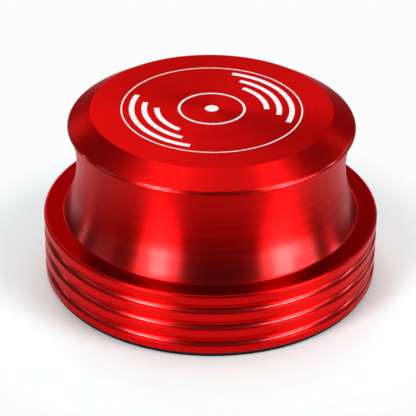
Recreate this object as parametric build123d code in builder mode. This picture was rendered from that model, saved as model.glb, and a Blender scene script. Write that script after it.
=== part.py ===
from build123d import *
import os
from math import atan2, pi, radians, tan

# A record weight: a turned weight that stands on a record's label, over the turntable's spindle.
# It is one lathe-turned solid with a grooved flange, a waisted neck and a chamfered top, and a thin
# rubber pad is bonded under it. Z points up, and the origin is on the axis at the pad's underside.
# All sizes are in millimetres.

# Base flange
base_diameter = 76.0
flange_height = 14.8
flange_ledge_width = 4.5
flange_edge_round = 0.5
base_edge_break = 0.25

# Round grooves in the flange's side, spread evenly between the lowest and the highest land
groove_count = 3
groove_width = 2.25
groove_depth = 0.95
groove_lip_round = 0.12
lowest_land_height = 1.92
highest_land_height = 2.2

# Waisted neck, swept in one arc from the flange's ledge up to the rim
neck_foot_round = 0.4
neck_hollow = 2.28

# Rim with a rounded upper edge, chamfer and flat top face
body_height = 39.7
rim_diameter = 64.3
rim_overhang = 0.35
rim_lip_land = 0.07
rim_round = 0.85
chamfer_width = 5.15
chamfer_height = 3.12
top_edge_round = 0.15

# Blind hole for the spindle, drilled from below
spindle_diameter = 7.2
spindle_clearance = 0.1
bore_depth = 24.0
bore_mouth_chamfer = 0.8
bore_mouth_angle = 90.0
drill_point_angle = 118.0

# Rubber pad under the weight
pad_thickness = 1.0
pad_edge_margin = 0.35
pad_hole_margin = 1.5

# Radii that follow from the sizes above
base_radius = base_diameter / 2
rim_radius = rim_diameter / 2
bore_radius = spindle_diameter / 2 + spindle_clearance
bore_mouth_radius = bore_radius + bore_mouth_chamfer
pad_radius = base_radius - base_edge_break - pad_edge_margin
pad_hole_radius = bore_mouth_radius + pad_hole_margin

# Heights that follow from the sizes above; the rim's rounded edge runs from the chamfer to its lip
underside_z = pad_thickness
flange_z = underside_z + flange_height
top_z = underside_z + body_height
rim_top_z = top_z - chamfer_height
chamfer_angle = atan2(chamfer_height, chamfer_width)
rim_round_drop = rim_round * tan((pi / 2 - chamfer_angle) / 2)
rim_underside_z = rim_top_z - rim_round_drop - rim_lip_land
bore_end_z = underside_z + bore_depth
drill_point_height = bore_radius / tan(radians(drill_point_angle) / 2)

# Corners of the turned outline, as (radius, height)
base_corner = (base_radius, underside_z)
flange_corner = (base_radius, flange_z)
neck_foot = (base_radius - flange_ledge_width, flange_z)
neck_head = (rim_radius - rim_overhang, rim_underside_z)
rim_lower_corner = (rim_radius, rim_underside_z)
rim_upper_corner = (rim_radius, rim_top_z)
top_corner = (rim_radius - chamfer_width, top_z)

# A groove is the part of a circle that dips into the flange by the groove's depth
groove_circle_radius = (groove_width**2 / 4 + groove_depth**2) / (2 * groove_depth)
groove_circle_centre = base_radius - groove_depth + groove_circle_radius
lowest_groove_z = underside_z + lowest_land_height + groove_width / 2
highest_groove_z = flange_z - highest_land_height - groove_width / 2
groove_pitch = (highest_groove_z - lowest_groove_z) / (groove_count - 1)
groove_centres = [
    (groove_circle_centre, lowest_groove_z + index * groove_pitch) for index in range(groove_count)
]

# The weight: its outline is turned in one piece, then it is drilled from below
with BuildPart() as weight_body:
    with BuildSketch(Plane.XZ) as outline:
        with BuildLine():
            Polyline((0, top_z), (0, underside_z), base_corner, flange_corner, neck_foot)
            SagittaArc(neck_foot, neck_head, neck_hollow)
            Polyline(neck_head, rim_lower_corner, rim_upper_corner, top_corner, (0, top_z))
        make_face()
        with Locations(*groove_centres):
            Circle(groove_circle_radius, mode=Mode.SUBTRACT)
        groove_lips = outline.vertices().group_by(Axis.X)[-1].sort_by(Axis.Y)[1:-1]
        fillet(groove_lips, groove_lip_round)
        for corner, round_radius in (
            (neck_foot, neck_foot_round),
            (rim_upper_corner, rim_round),
            (top_corner, top_edge_round),
            (flange_corner, flange_edge_round),
        ):
            fillet(outline.vertices().sort_by_distance(corner)[0], round_radius)
        chamfer(outline.vertices().sort_by_distance(base_corner)[0], base_edge_break)
    revolve(axis=Axis.Z)

    with Locations(Plane(origin=(0, 0, underside_z), z_dir=(0, 0, -1))):
        CounterSinkHole(bore_radius, bore_mouth_radius, bore_depth, counter_sink_angle=bore_mouth_angle)
    with Locations((0, 0, bore_end_z)):
        Cone(
            bottom_radius=bore_radius,
            top_radius=0,
            height=drill_point_height,
            align=(Align.CENTER, Align.CENTER, Align.MIN),
            mode=Mode.SUBTRACT,
        )
weight_body.part.label = "weight_body"

# The pad: a flat ring that leaves the mouth of the spindle hole open
with BuildPart() as base_pad:
    with BuildSketch():
        Circle(pad_radius)
        Circle(pad_hole_radius, mode=Mode.SUBTRACT)
    extrude(amount=pad_thickness)
base_pad.part.label = "base_pad"

os.makedirs("parts", exist_ok=True)
export_step(weight_body.part, "parts/weight_body.step")
export_step(base_pad.part, "parts/base_pad.step")
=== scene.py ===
"""Looks of a turned record weight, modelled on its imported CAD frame.

The weight is one lathe-turned piece of red anodised aluminium with a white laser mark on its top face,
and it stands on a thin rubber pad. Sizes are in millimetres unless a line says otherwise, and MM turns
them into metres.
"""

import logging
import math
from collections.abc import Callable
from dataclasses import dataclass, field
from enum import Enum
from itertools import accumulate

import bpy
from mathutils import Matrix, Vector


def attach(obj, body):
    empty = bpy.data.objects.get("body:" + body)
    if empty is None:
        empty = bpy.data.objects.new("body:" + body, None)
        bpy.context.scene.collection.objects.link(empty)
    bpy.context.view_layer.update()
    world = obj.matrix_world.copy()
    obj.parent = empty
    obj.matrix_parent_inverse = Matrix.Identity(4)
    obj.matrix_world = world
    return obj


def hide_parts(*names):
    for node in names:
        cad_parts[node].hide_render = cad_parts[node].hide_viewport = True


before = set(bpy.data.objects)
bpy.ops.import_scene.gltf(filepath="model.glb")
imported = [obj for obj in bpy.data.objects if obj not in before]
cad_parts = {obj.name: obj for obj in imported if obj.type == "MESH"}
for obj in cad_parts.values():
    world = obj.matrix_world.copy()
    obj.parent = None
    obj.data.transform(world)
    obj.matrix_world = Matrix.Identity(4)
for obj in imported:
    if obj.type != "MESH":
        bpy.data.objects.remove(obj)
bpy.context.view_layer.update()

MM = 0.001
# Places that are nearer to each other than this count as one.
TOUCH = 0.001
BODY = "root"
IMAGE_PIXELS = 416
# Names of the values and the map that the turned shell carries.
ALONG = "along"
POLISH = "polish"
LATHE_MAP = "OFBake"

LOG = logging.getLogger("record_weight")

Point = tuple[float, float]
Colour = tuple[float, float, float]


class Slot(Enum):
    """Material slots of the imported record."""

    RED_METAL = "red_anodised_aluminium"
    BLACK_RUBBER = "black_rubber"


class Node(Enum):
    """CAD nodes that the dressed pieces stand for."""

    WEIGHT = "weight_body"
    PAD = "base_pad"


class Zone(Enum):
    """Zones of the weight that have a finish of their own, by material slot."""

    NECK = 0
    MARK = 1
    CROWN = 2
    LEDGE = 3
    FLANGE = 4
    GROOVE = 5


class Maths(Enum):
    """Operations of the maths nodes used here."""

    ADD = "ADD"
    SUBTRACT = "SUBTRACT"
    MULTIPLY = "MULTIPLY"
    DIVIDE = "DIVIDE"
    MAXIMUM = "MAXIMUM"
    MULTIPLY_ADD = "MULTIPLY_ADD"


def set_inputs(node: bpy.types.ShaderNode, values: dict[str, object]) -> None:
    """Sets plain values on a node's own inputs.

    Args:
        node: The node.
        values: The values, by the inputs' names.
    """
    for label, value in values.items():
        node.inputs[label].default_value = value


class NodeBench:
    """Lays and wires the nodes of one shader tree."""

    def __init__(self, tree: bpy.types.ShaderNodeTree) -> None:
        """Takes over a tree and clears it.

        Args:
            tree: The node tree of a material, a world or a group.
        """
        self.tree = tree
        tree.nodes.clear()

    def add(self, kind: str, **settings: object) -> bpy.types.ShaderNode:
        """Adds a node and sets its properties.

        Args:
            kind: The node type, without its ShaderNode prefix.
            settings: Properties of the node by name.

        Returns:
            The new node.
        """
        prefix = "" if kind.startswith("Node") else "ShaderNode"
        node = self.tree.nodes.new(prefix + kind)
        for name, value in settings.items():
            setattr(node, name, value)
        return node

    def wire(self, source: bpy.types.NodeSocket, target: bpy.types.NodeSocket) -> None:
        """Links an output to an input."""
        self.tree.links.new(source, target)

    def feed(self, target: bpy.types.NodeSocket, value: object) -> None:
        """Links a socket to an input, or sets a plain value on it.

        Args:
            target: The input socket.
            value: An output socket, or the value itself.
        """
        if isinstance(value, bpy.types.NodeSocket):
            self.wire(value, target)
        else:
            target.default_value = value

    def maths(self, operation: Maths, *values: object) -> bpy.types.NodeSocket:
        """Adds a maths node.

        Args:
            operation: What it does.
            values: Its operands, sockets or numbers.

        Returns:
            The result's socket.
        """
        node = self.add("Math", operation=operation.value)
        for target, value in zip(node.inputs, values):
            self.feed(target, value)
        return node.outputs[0]

    def smooth_range(self, value: bpy.types.NodeSocket, low: float, high: float,
                     to_low: float = 0.0, to_high: float = 1.0) -> bpy.types.NodeSocket:
        """Maps a value smoothly from one range to another.

        Args:
            value: The socket to map.
            low: Start of the range.
            high: End of the range.
            to_low: Result at the start.
            to_high: Result at the end.

        Returns:
            The mapped value's socket.
        """
        node = self.add("MapRange", interpolation_type="SMOOTHSTEP")
        set_inputs(node, {"From Min": low, "From Max": high, "To Min": to_low, "To Max": to_high})
        self.wire(value, node.inputs["Value"])
        return node.outputs["Result"]

    def two_tone(self, value: bpy.types.NodeSocket, low: Colour, high: Colour,
                 span: Point) -> bpy.types.NodeSocket:
        """Turns a value into a colour between two tones.

        Args:
            value: The socket to colour.
            low: Colour at the start of the span.
            high: Colour at its end.
            span: Values at which the blend starts and ends.

        Returns:
            The colour's socket.
        """
        node = self.add("ValToRGB")
        for index, colour in enumerate((low, high)):
            node.color_ramp.elements[index].position = span[index]
            node.color_ramp.elements[index].color = (*colour, 1.0)
        self.wire(value, node.inputs["Fac"])
        return node.outputs["Color"]

    def bumped(self, height: bpy.types.NodeSocket, strength: float, depth: float) -> bpy.types.NodeSocket:
        """Bends the normal as a height map asks.

        Args:
            height: The map's socket.
            strength: Share of the bump that shows.
            depth: Depth of the map's full range.

        Returns:
            The normal's socket.
        """
        node = self.add("Bump")
        set_inputs(node, {"Strength": strength, "Distance": depth * MM})
        self.wire(height, node.inputs["Height"])
        return node.outputs["Normal"]


def new_material(name: str) -> tuple[bpy.types.Material, NodeBench, bpy.types.ShaderNode]:
    """Makes a material that holds one Principled shader.

    Args:
        name: The material's name.

    Returns:
        The material, its node bench and its Principled node.
    """
    material = bpy.data.materials.new(name)
    material.use_nodes = True
    bench = NodeBench(material.node_tree)
    shader = bench.add("BsdfPrincipled")
    output = bench.add("OutputMaterial")
    bench.wire(shader.outputs["BSDF"], output.inputs["Surface"])
    return material, bench, shader


def new_group(name: str, inputs: dict[str, float | None], outputs: tuple[str, ...]) -> NodeBench:
    """Makes a shader node group with named sockets.

    Args:
        name: The group's name.
        inputs: Input names with their starting values, or None for a vector.
        outputs: Names of the value outputs.

    Returns:
        The bench of the new group.
    """
    group = bpy.data.node_groups.new(name, "ShaderNodeTree")
    for label, value in inputs.items():
        kind = "NodeSocketVector" if value is None else "NodeSocketFloat"
        socket = group.interface.new_socket(label, in_out="INPUT", socket_type=kind)
        if value is not None:
            socket.default_value = value
    for label in outputs:
        group.interface.new_socket(label, in_out="OUTPUT", socket_type="NodeSocketFloat")
    return NodeBench(group)


@dataclass(frozen=True)
class TurningLines:
    """Lines that the lathe's tool leaves round a turned face, as one shared node group.

    The lines run round the Z axis on any face, because they are drawn in radius and height. Their
    strength wanders slowly round the piece, so no line is the same all the way round.
    """

    name: str = "turning_lines"
    fine_pitch: float = 0.25
    coarse_pitch: float = 1.0
    wander: float = 0.35
    detail: float = 2.0
    harshness: float = 0.6
    least_radius: float = 0.01

    def group(self) -> bpy.types.ShaderNodeTree:
        """Builds the group once.

        Returns:
            The node group, with the outputs Lines and Streaks, both from 0 to 1.
        """
        known = bpy.data.node_groups.get(self.name)
        if known is not None:
            return known
        pitches = {"Fine Pitch": self.fine_pitch, "Coarse Pitch": self.coarse_pitch}
        bench = new_group(self.name, {"Vector": None, **pitches}, ("Lines", "Streaks"))
        entry = bench.add("NodeGroupInput")
        leave = bench.add("NodeGroupOutput")
        parts = bench.add("SeparateXYZ")
        bench.wire(entry.outputs["Vector"], parts.inputs[0])
        flat = bench.add("CombineXYZ")
        bench.wire(parts.outputs["X"], flat.inputs["X"])
        bench.wire(parts.outputs["Y"], flat.inputs["Y"])
        length = bench.add("VectorMath", operation="LENGTH")
        bench.wire(flat.outputs[0], length.inputs[0])
        radius = bench.maths(Maths.MAXIMUM, length.outputs["Value"], self.least_radius * MM)
        cosine = bench.maths(Maths.DIVIDE, parts.outputs["X"], radius)
        sine = bench.maths(Maths.DIVIDE, parts.outputs["Y"], radius)
        for label, pitch in zip(("Lines", "Streaks"), pitches):
            scale = bench.maths(Maths.DIVIDE, 1.0 / MM, entry.outputs[pitch])
            place = bench.add("CombineXYZ")
            bench.wire(bench.maths(Maths.MULTIPLY, radius, scale), place.inputs["X"])
            bench.wire(bench.maths(Maths.MULTIPLY, parts.outputs["Z"], scale), place.inputs["Y"])
            bench.wire(bench.maths(Maths.MULTIPLY, cosine, self.wander), place.inputs["Z"])
            noise = bench.add("TexNoise", noise_dimensions="4D")
            set_inputs(noise, {"Scale": 1.0, "Detail": self.detail, "Roughness": self.harshness})
            bench.wire(place.outputs[0], noise.inputs["Vector"])
            bench.wire(bench.maths(Maths.MULTIPLY, sine, self.wander), noise.inputs["W"])
            bench.wire(noise.outputs["Fac"], leave.inputs[label])
        return bench.tree


@dataclass(frozen=True)
class Speckle:
    """Fine uneven grain of a moulded or burnt face, as one shared node group."""

    name: str = "fine_speckle"
    grain_size: float = 0.3
    patch_size: float = 6.0
    grain_detail: float = 3.0
    patch_detail: float = 4.0

    def group(self) -> bpy.types.ShaderNodeTree:
        """Builds the group once.

        Returns:
            The node group, with the outputs Grain and Patches, both from 0 to 1.
        """
        known = bpy.data.node_groups.get(self.name)
        if known is not None:
            return known
        sizes = {"Grain Size": self.grain_size, "Patch Size": self.patch_size}
        details = {"Grain": self.grain_detail, "Patches": self.patch_detail}
        bench = new_group(self.name, {"Vector": None, **sizes}, tuple(details))
        entry = bench.add("NodeGroupInput")
        leave = bench.add("NodeGroupOutput")
        for (label, detail), size in zip(details.items(), sizes):
            noise = bench.add("TexNoise", noise_dimensions="3D")
            noise.inputs["Detail"].default_value = detail
            bench.wire(entry.outputs["Vector"], noise.inputs["Vector"])
            bench.wire(bench.maths(Maths.DIVIDE, 1.0 / MM, entry.outputs[size]), noise.inputs["Scale"])
            bench.wire(noise.outputs["Fac"], leave.inputs[label])
        return bench.tree


def place_group(bench: NodeBench, tree: bpy.types.ShaderNodeTree, **values: float) -> bpy.types.ShaderNode:
    """Places a shared group in a material, on its Object coordinates.

    Args:
        bench: The material's bench.
        tree: The group.
        values: Numbers for its inputs, with underscores for spaces in their names.

    Returns:
        The group's node.
    """
    node = bench.add("Group", node_tree=tree)
    place = bench.add("TexCoord")
    bench.wire(place.outputs["Object"], node.inputs["Vector"])
    set_inputs(node, {label.replace("_", " "): value for label, value in values.items()})
    return node


@dataclass(frozen=True)
class RedAnodised:
    """Clear red dye in the oxide skin of turned aluminium, with its shine drawn out across the lines.

    Where it has a coat, the coat lies only on the points that are noted as polished.
    """

    name: str
    roughness: float
    anisotropy: float
    edge_tint: float
    deep_red: Colour
    bright_red: Colour
    coat_weight: float = 0.0
    coat_roughness: float = 0.18
    coat_ior: float = 1.4
    fine_pitch: float = 0.22
    coarse_pitch: float = 0.9
    tone_span: Point = (0.3, 0.7)
    roughness_swing: float = 0.04
    across_the_lines: float = 0.25
    line_strength: float = 1.0
    line_depth: float = 0.004

    def material(self) -> bpy.types.Material:
        """Builds the finish.

        Returns:
            The new material.
        """
        material, bench, shader = new_material(self.name)
        lines = place_group(bench, TurningLines().group(),
                            Fine_Pitch=self.fine_pitch, Coarse_Pitch=self.coarse_pitch)
        blend = bench.maths(Maths.ADD, lines.outputs["Lines"], lines.outputs["Streaks"])
        middle = bench.maths(Maths.DIVIDE, blend, 2.0)
        tone = bench.two_tone(middle, self.deep_red, self.bright_red, self.tone_span)
        bench.wire(tone, shader.inputs["Base Color"])
        swing = bench.maths(Maths.MULTIPLY_ADD, lines.outputs["Streaks"], self.roughness_swing,
                            self.roughness - self.roughness_swing / 2.0)
        bench.wire(swing, shader.inputs["Roughness"])
        ridges = bench.bumped(lines.outputs["Lines"], self.line_strength, self.line_depth)
        bench.wire(ridges, shader.inputs["Normal"])
        tangent = bench.add("Tangent", direction_type="RADIAL", axis="Z")
        bench.wire(tangent.outputs["Tangent"], shader.inputs["Tangent"])
        set_inputs(shader, {
            "Metallic": 1.0,
            "Specular Tint": (1.0, self.edge_tint, self.edge_tint, 1.0),
            "Anisotropic": self.anisotropy,
            "Anisotropic Rotation": self.across_the_lines,
            "Coat Weight": self.coat_weight,
            "Coat Roughness": self.coat_roughness,
            "Coat IOR": self.coat_ior,
        })
        if self.coat_weight > 0.0:
            polish = bench.add("Attribute", attribute_name=POLISH)
            lined = bench.maths(Maths.MULTIPLY, blend, self.coat_weight)
            coat = bench.maths(Maths.MULTIPLY, polish.outputs["Fac"], lined)
            bench.wire(coat, shader.inputs["Coat Weight"])
        return material


@dataclass(frozen=True)
class LaserWhite:
    """White mark where a laser has bleached the dye: matt, with the turned lines still in it."""

    name: str = "laser_bleached_white"
    pale: Colour = (0.72, 0.71, 0.71)
    shade: Colour = (0.66, 0.64, 0.64)
    tone_span: Point = (0.3, 0.6)
    roughness: float = 0.62
    roughness_swing: float = 0.15
    grain_size: float = 0.12
    grain_strength: float = 0.6
    grain_depth: float = 0.01
    line_pitch: float = 0.15

    def material(self) -> bpy.types.Material:
        """Builds the finish.

        Returns:
            The new material.
        """
        material, bench, shader = new_material(self.name)
        speckle = place_group(bench, Speckle().group(), Grain_Size=self.grain_size)
        lines = place_group(bench, TurningLines().group(), Fine_Pitch=self.line_pitch)
        grain = speckle.outputs["Grain"]
        middle = bench.maths(Maths.DIVIDE, bench.maths(Maths.ADD, grain, lines.outputs["Lines"]), 2.0)
        tone = bench.two_tone(middle, self.shade, self.pale, self.tone_span)
        bench.wire(tone, shader.inputs["Base Color"])
        rough = bench.maths(Maths.MULTIPLY_ADD, grain, self.roughness_swing, self.roughness)
        bench.wire(rough, shader.inputs["Roughness"])
        bench.wire(bench.bumped(grain, self.grain_strength, self.grain_depth), shader.inputs["Normal"])
        return material


@dataclass(frozen=True)
class BlackRubber:
    """Black sheet rubber with a fine moulded grain and a little bloom."""

    name: str = "black_sheet_rubber"
    dark: Colour = (0.004, 0.004, 0.004)
    bloom: Colour = (0.010, 0.010, 0.010)
    tone_span: Point = (0.35, 0.75)
    roughness: float = 0.58
    roughness_swing: float = 0.2
    shine: float = 0.1
    grain_size: float = 0.35
    grain_strength: float = 0.8
    grain_depth: float = 0.04
    patch_size: float = 9.0

    def material(self) -> bpy.types.Material:
        """Builds the finish.

        Returns:
            The new material.
        """
        material, bench, shader = new_material(self.name)
        speckle = place_group(bench, Speckle().group(),
                              Grain_Size=self.grain_size, Patch_Size=self.patch_size)
        grain, patches = speckle.outputs["Grain"], speckle.outputs["Patches"]
        middle = bench.maths(Maths.DIVIDE, bench.maths(Maths.ADD, grain, patches), 2.0)
        tone = bench.two_tone(middle, self.dark, self.bloom, self.tone_span)
        bench.wire(tone, shader.inputs["Base Color"])
        rough = bench.maths(Maths.MULTIPLY_ADD, patches, self.roughness_swing, self.roughness)
        bench.wire(rough, shader.inputs["Roughness"])
        bench.wire(bench.bumped(grain, self.grain_strength, self.grain_depth), shader.inputs["Normal"])
        shader.inputs["Specular IOR Level"].default_value = self.shine
        return material


@dataclass(frozen=True)
class PaleFloor:
    """Plain pale matt floor, which the camera sees fade into the background away from the object.

    It is slightly cool, because the red metal throws warm light on it.
    """

    name: str = "pale_matt_floor"
    colour: Colour = (0.765, 0.845, 0.845)
    fade: Point = (44.0, 70.0)

    def material(self) -> bpy.types.Material:
        """Builds the finish.

        Returns:
            The new material.
        """
        material, bench, shader = new_material(self.name)
        set_inputs(shader, {"Base Color": (*self.colour, 1.0), "Roughness": 1.0, "Specular IOR Level": 0.0})
        place = bench.add("TexCoord")
        reach = bench.add("VectorMath", operation="LENGTH")
        bench.wire(place.outputs["Object"], reach.inputs[0])
        low, high = (radius * MM for radius in self.fade)
        away = bench.smooth_range(reach.outputs["Value"], low, high)
        path = bench.add("LightPath")
        faded = bench.maths(Maths.MULTIPLY, away, path.outputs["Is Camera Ray"])
        bench.wire(bench.maths(Maths.SUBTRACT, 1.0, faded), shader.inputs["Alpha"])
        return material


@dataclass
class LatheWork:
    """A half outline drawn point by point in the XZ plane, and then spun round the Z axis."""

    name: str
    start: Point
    steps: int
    piece: bpy.types.Object = field(init=False)
    pen: Point = field(init=False)

    def __post_init__(self) -> None:
        """Puts the first point down: a small plane merged into one vertex."""
        bpy.ops.object.select_all(action="DESELECT")
        bpy.ops.mesh.primitive_plane_add(size=MM)
        self.piece = bpy.context.object
        self.piece.name = self.name
        self.piece.data.name = self.name
        bpy.ops.object.mode_set(mode="EDIT")
        bpy.ops.mesh.select_mode(type="VERT")
        bpy.ops.mesh.select_all(action="SELECT")
        bpy.ops.mesh.merge(type="CENTER")
        bpy.ops.transform.translate(value=(self.start[0] * MM, 0.0, self.start[1] * MM))
        self.pen = self.start

    def line_to(self, *points: Point) -> None:
        """Extrudes the last point along straight lines.

        Args:
            points: Radius and height of each next point.
        """
        for radius, height in points:
            move = ((radius - self.pen[0]) * MM, 0.0, (height - self.pen[1]) * MM)
            bpy.ops.mesh.extrude_vertices_move(TRANSFORM_OT_translate={"value": move})
            self.pen = (radius, height)

    def arc_to(self, end: Point, centre: Point, steps: int) -> None:
        """Spins the last point round a centre, the short way, until it meets an end.

        Args:
            end: Where the arc ends.
            centre: Centre of the arc.
            steps: How many edges the arc gets.
        """
        first = math.atan2(self.pen[1] - centre[1], self.pen[0] - centre[0])
        last = math.atan2(end[1] - centre[1], end[0] - centre[0])
        turn = math.remainder(last - first, math.tau)
        middle = (centre[0] * MM, 0.0, centre[1] * MM)
        bpy.ops.mesh.spin(steps=steps, angle=turn, center=middle, axis=(0.0, 1.0, 0.0))
        self.pen = end

    def round_corner(self, corner: Point, reach: float, segments: int) -> None:
        """Bevels one point of the outline into a round.

        Args:
            corner: Radius and height of the point.
            reach: How far the round reaches along both lines.
            segments: How many edges the round gets.
        """
        spot = (corner[0] * MM, corner[1] * MM)
        self.pick(lambda place: math.dist((place.x, place.z), spot) < TOUCH * MM)
        bpy.ops.mesh.bevel(affect="VERTICES", offset=reach * MM, segments=segments)

    def pick(self, wanted: Callable[[Vector], bool]) -> None:
        """Selects the points of the outline that pass a test.

        Args:
            wanted: Says whether a point at this place is selected.
        """
        bpy.ops.mesh.select_all(action="DESELECT")
        bpy.ops.object.mode_set(mode="OBJECT")
        for vertex in self.piece.data.vertices:
            vertex.select = wanted(vertex.co)
        bpy.ops.object.mode_set(mode="EDIT")

    def measure(self) -> None:
        """Notes on each point of an open outline how far along it lies, from 0 at its start to 1."""
        bpy.ops.object.mode_set(mode="OBJECT")
        mesh = self.piece.data
        places = [(vertex.co.x, vertex.co.z) for vertex in mesh.vertices]
        beside: list[list[int]] = [[] for _ in places]
        for edge in mesh.edges:
            first, last = edge.vertices
            beside[first].append(last)
            beside[last].append(first)
        start = (self.start[0] * MM, self.start[1] * MM)
        order = [min(range(len(places)), key=lambda index: math.dist(places[index], start))]
        while ahead := [index for index in beside[order[-1]] if index not in order[-2:]]:
            order.append(ahead[0])
        steps = [math.dist(places[one], places[two]) for one, two in zip(order, order[1:])]
        lengths = [0.0, *accumulate(steps)]
        along = mesh.attributes.new(ALONG, "FLOAT", "POINT")
        for index, length in zip(order, lengths):
            along.data[index].value = length / lengths[-1]
        bpy.ops.object.mode_set(mode="EDIT")

    def spin(self) -> bpy.types.Object:
        """Turns the outline into a closed shell.

        Returns:
            The piece, in object mode.
        """
        bpy.ops.mesh.select_all(action="SELECT")
        bpy.ops.mesh.spin(steps=self.steps, angle=math.tau, center=(0.0, 0.0, 0.0), axis=(0.0, 0.0, 1.0))
        bpy.ops.mesh.select_all(action="SELECT")
        bpy.ops.mesh.remove_doubles(threshold=TOUCH * MM)
        bpy.ops.mesh.normals_make_consistent(inside=False)
        bpy.ops.object.mode_set(mode="OBJECT")
        return self.piece

    def unroll(self) -> None:
        """Lays a map of the measured shell: U runs round the axis, and V along the outline."""
        mesh = self.piece.data
        along = mesh.attributes[ALONG]
        layer = mesh.uv_layers.new(name=LATHE_MAP)
        for face in mesh.polygons:
            middle = math.atan2(face.center.y, face.center.x)
            for corner in face.loop_indices:
                vertex = mesh.vertices[mesh.loops[corner].vertex_index]
                lean = 0.0
                if math.hypot(vertex.co.x, vertex.co.y) > TOUCH * MM:
                    lean = math.remainder(math.atan2(vertex.co.y, vertex.co.x) - middle, math.tau)
                layer.uv[corner].vector = ((middle + lean) / math.tau + 0.5, along.data[vertex.index].value)
        mesh.attributes.remove(along)


def soft_step(value: float, low: float, high: float) -> float:
    """Rises smoothly from 0 at a low value to 1 at a high one.

    Args:
        value: Where to read the step.
        low: Where it starts.
        high: Where it ends.

    Returns:
        The step's height there.
    """
    share = min(max((value - low) / (high - low), 0.0), 1.0)
    return share * share * (3.0 - 2.0 * share)


def even_shading(piece: bpy.types.Object, sharp_angle: float) -> None:
    """Smooths a piece's shading, and keeps its wide faces flat beside their small rounds.

    Args:
        piece: The mesh object.
        sharp_angle: Edges that turn by more than this, in degrees, stay sharp.
    """
    bpy.ops.object.select_all(action="DESELECT")
    piece.select_set(True)
    bpy.context.view_layer.objects.active = piece
    bpy.ops.object.shade_smooth_by_angle(angle=math.radians(sharp_angle))
    modifier = piece.modifiers.new("wide_faces_lead", "WEIGHTED_NORMAL")
    modifier.keep_sharp = True
    bpy.ops.object.modifier_apply(modifier=modifier.name)


@dataclass(frozen=True)
class MarkBand:
    """One ring of the top mark, whole or cut into arcs, which are given in degrees."""

    inner: float
    outer: float
    arcs: tuple[Point, ...] = ((-180.0, 180.0),)

    def holds(self, radius: float, angle: float) -> bool:
        """Says whether a place on the top face lies in the band.

        Args:
            radius: Distance from the axis.
            angle: Angle round the axis in degrees, from -180 to 180.

        Returns:
            True where the mark is.
        """
        return self.inner < radius < self.outer and any(first < angle < last for first, last in self.arcs)


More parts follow.
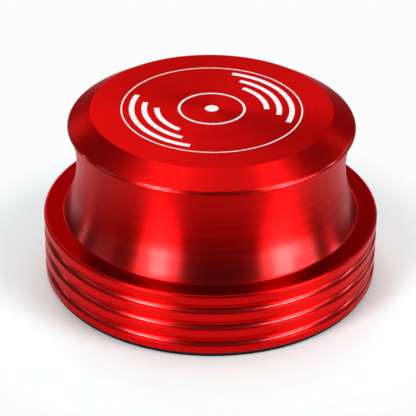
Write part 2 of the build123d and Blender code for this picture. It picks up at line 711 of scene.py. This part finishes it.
@dataclass
class TurnedWeight:
    """The turned weight with its laser-marked top and its blind spindle hole.

    A lean is the upward part of a normal: 0 on an upright wall and 1 on a level face.
    """

    name: str = "turned_weight"
    steps: int = 288
    sharp_angle: float = 40.0
    underside: float = 1.0
    flange_radius: float = 38.0
    flange_top: float = 15.8
    flange_round: float = 0.5
    base_break: float = 0.25
    groove_heights: tuple[float, ...] = (12.475, 8.26, 4.045)
    groove_width: float = 2.25
    groove_depth: float = 0.95
    groove_lip: float = 0.102
    groove_edges: int = 12
    neck_foot: Point = (33.5, 15.8)
    neck_head: Point = (31.8, 37.031)
    neck_hollow: float = 2.28
    neck_edges: int = 56
    foot_round: float = 0.24
    foot_margin: float = 0.01
    rim_radius: float = 32.15
    rim_top: float = 37.58
    rim_reach: float = 0.479
    lip_break: float = 0.03
    top_radius: float = 27.0
    top: float = 40.7
    top_reach: float = 0.042
    hidden_radius: float = 27.59
    mouth_radius: float = 4.5
    bore_radius: float = 3.7
    bore_top: float = 25.0
    drill_angle: float = 118.0
    mark_depth: float = 0.02
    matt_edge: float = 0.75
    polish_lean: Point = (0.12, 0.42)
    top_lean: Point = (0.74, 0.85)
    groove_lean: Point = (0.38, 0.55)
    lip_lean: Point = (0.93, 0.99)
    mark: tuple[MarkBand, ...] = (
        MarkBand(19.9, 20.25),
        MarkBand(17.2, 18.4, ((-20.0, 75.0), (-180.0, -105.0), (160.0, 180.0))),
        MarkBand(14.4, 15.6, ((-10.0, 65.0), (-180.0, -115.0), (170.0, 180.0))),
        MarkBand(11.6, 12.8, ((0.0, 55.0), (-180.0, -125.0))),
        MarkBand(7.0, 7.55),
        MarkBand(0.0, 1.5),
    )
    piece: bpy.types.Object = field(init=False)

    def build(self) -> bpy.types.Object:
        """Turns the weight, cuts its mark and shades it.

        Returns:
            The finished piece.
        """
        work = LatheWork(self.name, (0.0, self.top), self.steps)
        self.draw_head(work)
        self.draw_flange(work)
        self.draw_bore(work)
        self.break_corners(work)
        work.measure()
        self.piece = work.spin()
        work.unroll()
        self.note_polish()
        self.cut_mark()
        even_shading(self.piece, self.sharp_angle)
        return self.piece

    def draw_head(self, work: LatheWork) -> None:
        """Draws the top face, the chamfer, the rim and the hollow neck.

        Args:
            work: The outline, with its pen on the axis at the top.
        """
        edges = sorted({edge for band in self.mark for edge in (band.inner, band.outer) if edge > 0.0})
        work.line_to(*((edge, self.top) for edge in edges))
        work.line_to((self.top_radius, self.top), (self.rim_radius, self.rim_top))
        work.line_to((self.rim_radius, self.neck_head[1]), self.neck_head)
        chord = Vector(self.neck_foot) - Vector(self.neck_head)
        radius = chord.length ** 2 / (8.0 * self.neck_hollow) + self.neck_hollow / 2.0
        outward = Vector((-chord.y, chord.x)).normalized()
        middle = Vector(self.neck_head) + chord / 2.0 + outward * (radius - self.neck_hollow)
        work.arc_to(self.neck_foot, (middle.x, middle.y), self.neck_edges)

    def draw_flange(self, work: LatheWork) -> None:
        """Draws the ledge and the grooved side of the flange, down to the underside.

        Args:
            work: The outline, with its pen at the neck's foot.
        """
        radius = self.flange_radius
        half = self.groove_width / 2.0
        ball = (half ** 2 + self.groove_depth ** 2) / (2.0 * self.groove_depth)
        deep = radius - self.groove_depth
        work.line_to((radius, self.flange_top))
        for height in self.groove_heights:
            centre = (deep + ball, height)
            work.line_to((radius, height + half))
            work.arc_to((deep, height), centre, self.groove_edges)
            work.arc_to((radius, height - half), centre, self.groove_edges)
        work.line_to((radius, self.underside + self.base_break), (radius - self.base_break, self.underside))

    def draw_bore(self, work: LatheWork) -> None:
        """Draws the underside, the bore's mouth, its wall and its drill point.

        Args:
            work: The outline, with its pen at the base's edge.
        """
        mouth_top = self.underside + self.mouth_radius - self.bore_radius
        point = self.bore_radius / math.tan(math.radians(self.drill_angle / 2.0))
        work.line_to((self.mouth_radius, self.underside), (self.bore_radius, mouth_top))
        work.line_to((self.bore_radius, self.bore_top), (0.0, self.bore_top + point))

    def break_corners(self, work: LatheWork) -> None:
        """Rounds the outline's corners, each by its own reach and with its own number of edges.

        Args:
            work: The outline, before it is spun.
        """
        half = self.groove_width / 2.0
        work.round_corner((self.top_radius, self.top), self.top_reach, segments=3)
        work.round_corner((self.rim_radius, self.rim_top), self.rim_reach, segments=8)
        work.round_corner((self.rim_radius, self.neck_head[1]), self.lip_break, segments=2)
        work.round_corner(self.neck_foot, self.foot_round, segments=5)
        work.round_corner((self.flange_radius, self.flange_top), self.flange_round, segments=6)
        for height in self.groove_heights:
            for edge in (height + half, height - half):
                work.round_corner((self.flange_radius, edge), self.groove_lip, segments=3)

    def note_polish(self) -> None:
        """Notes on each point how polished it is, by its lean.

        Handling polishes the neck and the grooves where they lean upward. The level faces, the chamfer
        and the flange's upper edge stay matt.
        """
        mesh = self.piece.data
        polish = mesh.attributes.new(POLISH, "FLOAT", "POINT")
        for vertex in mesh.vertices:
            height, lean = vertex.co.z / MM, vertex.normal.z
            start, stop = self.polish_lean, self.top_lean
            if height < self.flange_top:
                start, stop = self.groove_lean, self.lip_lean
            if 0.0 <= self.flange_top - height < self.matt_edge:
                continue
            polish.data[vertex.index].value = soft_step(lean, *start) - soft_step(lean, *stop)

    def cut_mark(self) -> None:
        """Sinks the marked faces of the top by the depth that the laser burns away."""
        mesh = self.piece.data
        for _ in Zone:
            mesh.materials.append(None)
        bpy.ops.object.mode_set(mode="EDIT")
        bpy.ops.mesh.select_mode(type="FACE")
        bpy.ops.mesh.select_all(action="DESELECT")
        bpy.ops.object.mode_set(mode="OBJECT")
        for face in mesh.polygons:
            face.select = abs(face.center.z - self.top * MM) < TOUCH * MM and self.is_marked(face.center)
        self.piece.active_material_index = Zone.MARK.value
        bpy.ops.object.mode_set(mode="EDIT")
        sink = (0.0, 0.0, -self.mark_depth * MM)
        bpy.ops.mesh.extrude_region_move(TRANSFORM_OT_translate={"value": sink})
        bpy.ops.object.material_slot_assign()
        bpy.ops.mesh.select_all(action="SELECT")
        bpy.ops.mesh.normals_make_consistent(inside=False)
        bpy.ops.object.mode_set(mode="OBJECT")

    def is_marked(self, place: Vector) -> bool:
        """Says whether a place on the top face belongs to the mark.

        Args:
            place: The place, in metres.

        Returns:
            True where the mark is.
        """
        radius = math.hypot(place.x, place.y) / MM
        angle = math.degrees(math.atan2(place.y, place.x))
        return any(band.holds(radius, angle) for band in self.mark)

    def zone_of(self, place: Vector) -> Zone:
        """Tells which zone a face belongs to.

        Below the crown, the faces inside the hidden radius are the bore's and the underside's.

        Args:
            place: The middle of the face, in metres.

        Returns:
            Its zone, other than the mark.
        """
        radius, height = math.hypot(place.x, place.y) / MM, place.z / MM
        if height > self.neck_head[1]:
            return Zone.CROWN
        if radius < self.hidden_radius:
            return Zone.FLANGE
        if height > self.flange_top + self.foot_margin:
            return Zone.NECK
        # These faces take the ledge finish, whose darker red is painted shade.
        if height > self.flange_top - self.flange_round and radius < self.flange_radius - self.flange_round:
            return Zone.LEDGE
        if any(abs(height - middle) < self.groove_width / 2.0 for middle in self.groove_heights):
            return Zone.GROOVE if radius < self.flange_radius - TOUCH else Zone.FLANGE
        return Zone.FLANGE

    def dress(self, finishes: dict[Zone, RedAnodised | LaserWhite]) -> None:
        """Gives the weight its finishes and sets it on its body.

        Args:
            finishes: The finish of each zone.
        """
        for zone in Zone:
            self.piece.data.materials[zone.value] = finishes[zone].material()
        for face in self.piece.data.polygons:
            if face.material_index != Zone.MARK.value:
                face.material_index = self.zone_of(face.center).value
        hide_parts(Node.WEIGHT.value)
        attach(self.piece, BODY)


@dataclass
class RubberPad:
    """The ring of sheet rubber that is bonded under the weight."""

    name: str = "rubber_pad"
    steps: int = 192
    sharp_angle: float = 50.0
    hole_radius: float = 6.0
    radius: float = 37.4
    thickness: float = 1.0
    edge_break: float = 0.12
    break_edges: int = 2
    piece: bpy.types.Object = field(init=False)

    def build(self) -> bpy.types.Object:
        """Spins the ring and shades it.

        Returns:
            The finished piece.
        """
        start = (self.hole_radius, 0.0)
        corners = [(self.radius, 0.0), (self.radius, self.thickness), (self.hole_radius, self.thickness)]
        work = LatheWork(self.name, start, self.steps)
        work.line_to(*corners, start)
        for corner in corners:
            work.round_corner(corner, self.edge_break, self.break_edges)
        self.piece = work.spin()
        even_shading(self.piece, self.sharp_angle)
        return self.piece

    def dress(self, rubber: BlackRubber) -> None:
        """Gives the pad its finish and sets it on its body.

        Args:
            rubber: Finish of the pad.
        """
        self.piece.data.materials.append(rubber.material())
        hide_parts(Node.PAD.value)
        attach(self.piece, BODY)


@dataclass(frozen=True)
class Softbox:
    """A soft light that faces the object, given by the angles that it fills as seen from there.

    The azimuth counts from the camera's side and is positive to the right. All angles are in degrees,
    and the distance is in metres.
    """

    name: str
    azimuth: float
    elevation: float
    half_width: float
    half_height: float
    radiance: float
    distance: float = 2.0

    def build(self) -> bpy.types.Object:
        """Makes the lamp.

        Returns:
            The lamp's object.
        """
        lamp = bpy.data.lights.new(self.name, "AREA")
        lamp.shape = "RECTANGLE"
        lamp.size = 2.0 * self.distance * math.tan(math.radians(self.half_width))
        lamp.size_y = 2.0 * self.distance * math.tan(math.radians(self.half_height))
        lamp.energy = self.radiance * math.pi * lamp.size * lamp.size_y
        holder = bpy.data.objects.new(self.name, lamp)
        bpy.context.scene.collection.objects.link(holder)
        turn, rise = math.radians(self.azimuth), math.radians(self.elevation)
        level = math.cos(rise)
        outward = Vector((math.sin(turn) * level, -math.cos(turn) * level, math.sin(rise)))
        side = Vector((math.cos(turn), math.sin(turn), 0.0))
        facing = Matrix((side, outward.cross(side), outward)).transposed().to_4x4()
        holder.matrix_world = Matrix.Translation(outward * self.distance) @ facing
        return holder


@dataclass(frozen=True)
class Studio:
    """Floor, soft lights and surroundings.

    The backdrop's side and top are parts of a direction: how far it points back, and how far up.
    """

    softboxes: tuple[Softbox, ...] = (
        Softbox("left_low", -37.0, -3.0, 11.5, 7.0, 4.7),
        Softbox("left_core", -38.0, 6.0, 6.5, 12.0, 14.0),
        Softbox("left_broad", -39.0, 4.0, 16.0, 14.0, 2.8),
        Softbox("left_upper", -51.0, 46.0, 7.0, 13.0, 12.5),
        Softbox("left_side", -86.0, 15.0, 10.0, 20.0, 0.4),
        Softbox("right_low", 59.0, -3.0, 13.5, 7.0, 7.3),
        Softbox("right_core", 56.0, 6.0, 7.0, 12.0, 12.0),
        Softbox("right_broad", 61.5, 4.0, 22.5, 14.0, 3.1),
        Softbox("right_upper", 67.0, 49.0, 9.0, 12.0, 9.5),
        Softbox("strip_left", -109.0, 2.0, 1.6, 13.0, 2.6),
        Softbox("strip_right", 103.0, 14.0, 3.8, 12.0, 3.8),
        Softbox("side_left", -145.0, 20.0, 6.0, 8.0, 1.0),
        Softbox("side_right", 128.0, 22.0, 9.0, 8.0, 1.4),
        Softbox("back_left", -165.0, 29.0, 9.0, 13.0, 1.95),
        Softbox("back_right", 165.0, 22.0, 9.0, 7.0, 1.85),
        Softbox("back_high", 180.0, 50.0, 17.0, 7.0, 2.55),
        Softbox("over_left", -145.0, 72.0, 10.0, 15.0, 3.1),
        Softbox("over_right", 145.0, 72.0, 10.0, 15.0, 1.7),
    )
    room: float = 0.1
    background: float = 0.974
    backdrop_side: Point = (0.15, 0.7)
    backdrop_top: Point = (-0.38, -0.08)
    floor_radius: float = 80.0
    floor_edges: int = 256

    def build(self, finish: PaleFloor) -> None:
        """Sets up the floor, the lamps and the world.

        Args:
            finish: The floor's finish.
        """
        self.lay_floor(finish)
        for softbox in self.softboxes:
            softbox.build()
        self.paint_room()

    def lay_floor(self, finish: PaleFloor) -> None:
        """Lays a plain floor at the pad's underside.

        Args:
            finish: The floor's finish.
        """
        bpy.ops.object.select_all(action="DESELECT")
        bpy.ops.mesh.primitive_circle_add(
            vertices=self.floor_edges, radius=self.floor_radius * MM, fill_type="TRIFAN")
        floor = bpy.context.object
        floor.name = "floor"
        floor.data.materials.append(finish.material())

    def paint_room(self) -> None:
        """Paints a dim room with a pale backdrop.

        The camera sees the backdrop all round, and metal sees it behind and below the object.
        """
        world = bpy.data.worlds.new("studio_room")
        bpy.context.scene.world = world
        world.use_nodes = True
        bench = NodeBench(world.node_tree)
        place = bench.add("TexCoord")
        parts = bench.add("SeparateXYZ")
        bench.wire(place.outputs["Generated"], parts.inputs[0])
        behind = bench.smooth_range(parts.outputs["Y"], *self.backdrop_side)
        below = bench.smooth_range(parts.outputs["Z"], *self.backdrop_top, to_low=1.0, to_high=0.0)
        path = bench.add("LightPath")
        glossy, through = path.outputs["Is Glossy Ray"], path.outputs["Is Transmission Ray"]
        mirrored = bench.maths(Maths.MAXIMUM, glossy, through)
        sweep = bench.maths(Maths.MULTIPLY, mirrored, bench.maths(Maths.MULTIPLY, behind, below))
        mix = bench.add("MixShader")
        bench.wire(bench.maths(Maths.MAXIMUM, path.outputs["Is Camera Ray"], sweep), mix.inputs[0])
        for target, strength in zip(mix.inputs[1:], (self.room, self.background)):
            light = bench.add("Background")
            set_inputs(light, {"Color": (1.0, 1.0, 1.0, 1.0), "Strength": strength})
            bench.wire(light.outputs[0], target)
        output = bench.add("OutputWorld")
        bench.wire(mix.outputs[0], output.inputs["Surface"])


@dataclass(frozen=True)
class PhotoCamera:
    """The camera at the photograph's place, as fitted to the object's outline.

    Angles are in degrees, and the clip range is in metres.
    """

    focal_pixels: float = 1849.2
    sensor: float = 36.0
    distance: float = 423.4
    elevation: float = 30.789
    roll: float = 0.662
    aim: tuple[float, float, float] = (-0.59, 0.0, 14.96)
    clip: Point = (0.01, 100.0)

    def build(self) -> bpy.types.Object:
        """Makes the camera and puts it to use.

        Returns:
            The camera's object.
        """
        lens = bpy.data.cameras.new("photo_camera")
        lens.sensor_width = self.sensor
        lens.lens = self.focal_pixels * self.sensor / IMAGE_PIXELS
        lens.clip_start, lens.clip_end = self.clip
        camera = bpy.data.objects.new("photo_camera", lens)
        bpy.context.scene.collection.objects.link(camera)
        rise = math.radians(self.elevation)
        right = Vector((1.0, 0.0, 0.0))
        ahead = Vector((0.0, math.cos(rise), -math.sin(rise)))
        up = right.cross(ahead)
        turn = math.radians(self.roll)
        side = math.cos(turn) * right + math.sin(turn) * up
        top = math.cos(turn) * up - math.sin(turn) * right
        place = (Vector(self.aim) - ahead * self.distance) * MM
        camera.matrix_world = Matrix.Translation(place) @ Matrix((side, top, -ahead)).transposed().to_4x4()
        bpy.context.scene.camera = camera
        return camera


def weight_finishes() -> dict[Zone, RedAnodised | LaserWhite]:
    """Lists the weight's finishes.

    Returns:
        The finish of each zone.
    """
    return {
        Zone.NECK: RedAnodised(
            "red_brushed_neck", roughness=0.341, anisotropy=0.905, edge_tint=0.76,
            deep_red=(0.50, 0.0032, 0.0032), bright_red=(0.76, 0.0056, 0.0056),
            coat_weight=0.52, coat_roughness=0.18,
        ),
        Zone.MARK: LaserWhite(),
        Zone.CROWN: RedAnodised(
            "red_faced_crown", roughness=0.335, anisotropy=0.679, edge_tint=0.5,
            deep_red=(0.58, 0.0036, 0.0036), bright_red=(0.68, 0.0056, 0.0056),
            coat_weight=1.0, coat_roughness=0.1,
        ),
        # The ledge's red is about a third of the other zones' red: painted shade, for the darkness the
        # ledge shows below the neck.
        Zone.LEDGE: RedAnodised(
            "red_ledge_painted_shade", roughness=0.313, anisotropy=0.37, edge_tint=0.45,
            deep_red=(0.193, 0.0016, 0.0016), bright_red=(0.227, 0.0024, 0.0024),
        ),
        Zone.FLANGE: RedAnodised(
            "red_turned_flange", roughness=0.278, anisotropy=0.648, edge_tint=0.65,
            deep_red=(0.54, 0.0038, 0.0038), bright_red=(0.63, 0.0056, 0.0056),
        ),
        Zone.GROOVE: RedAnodised(
            "red_turned_groove", roughness=0.278, anisotropy=0.648, edge_tint=0.65,
            deep_red=(0.53, 0.0012, 0.0012), bright_red=(0.62, 0.0018, 0.0018),
            coat_weight=0.78, coat_roughness=0.17, coat_ior=1.65,
        ),
    }


def main() -> None:
    """Builds the pieces in order, then the studio and the camera."""
    logging.basicConfig(level=logging.INFO, format="%(name)s: %(message)s")
    bpy.context.scene.view_settings.view_transform = "Standard"
    weight = TurnedWeight()
    weight.build()
    weight.dress(weight_finishes())
    LOG.info("%s: %d faces", weight.name, len(weight.piece.data.polygons))
    pad = RubberPad()
    pad.build()
    pad.dress(BlackRubber())
    LOG.info("%s: %d faces", pad.name, len(pad.piece.data.polygons))
    Studio().build(PaleFloor())
    PhotoCamera().build()


if __name__ == "__main__":
    main()
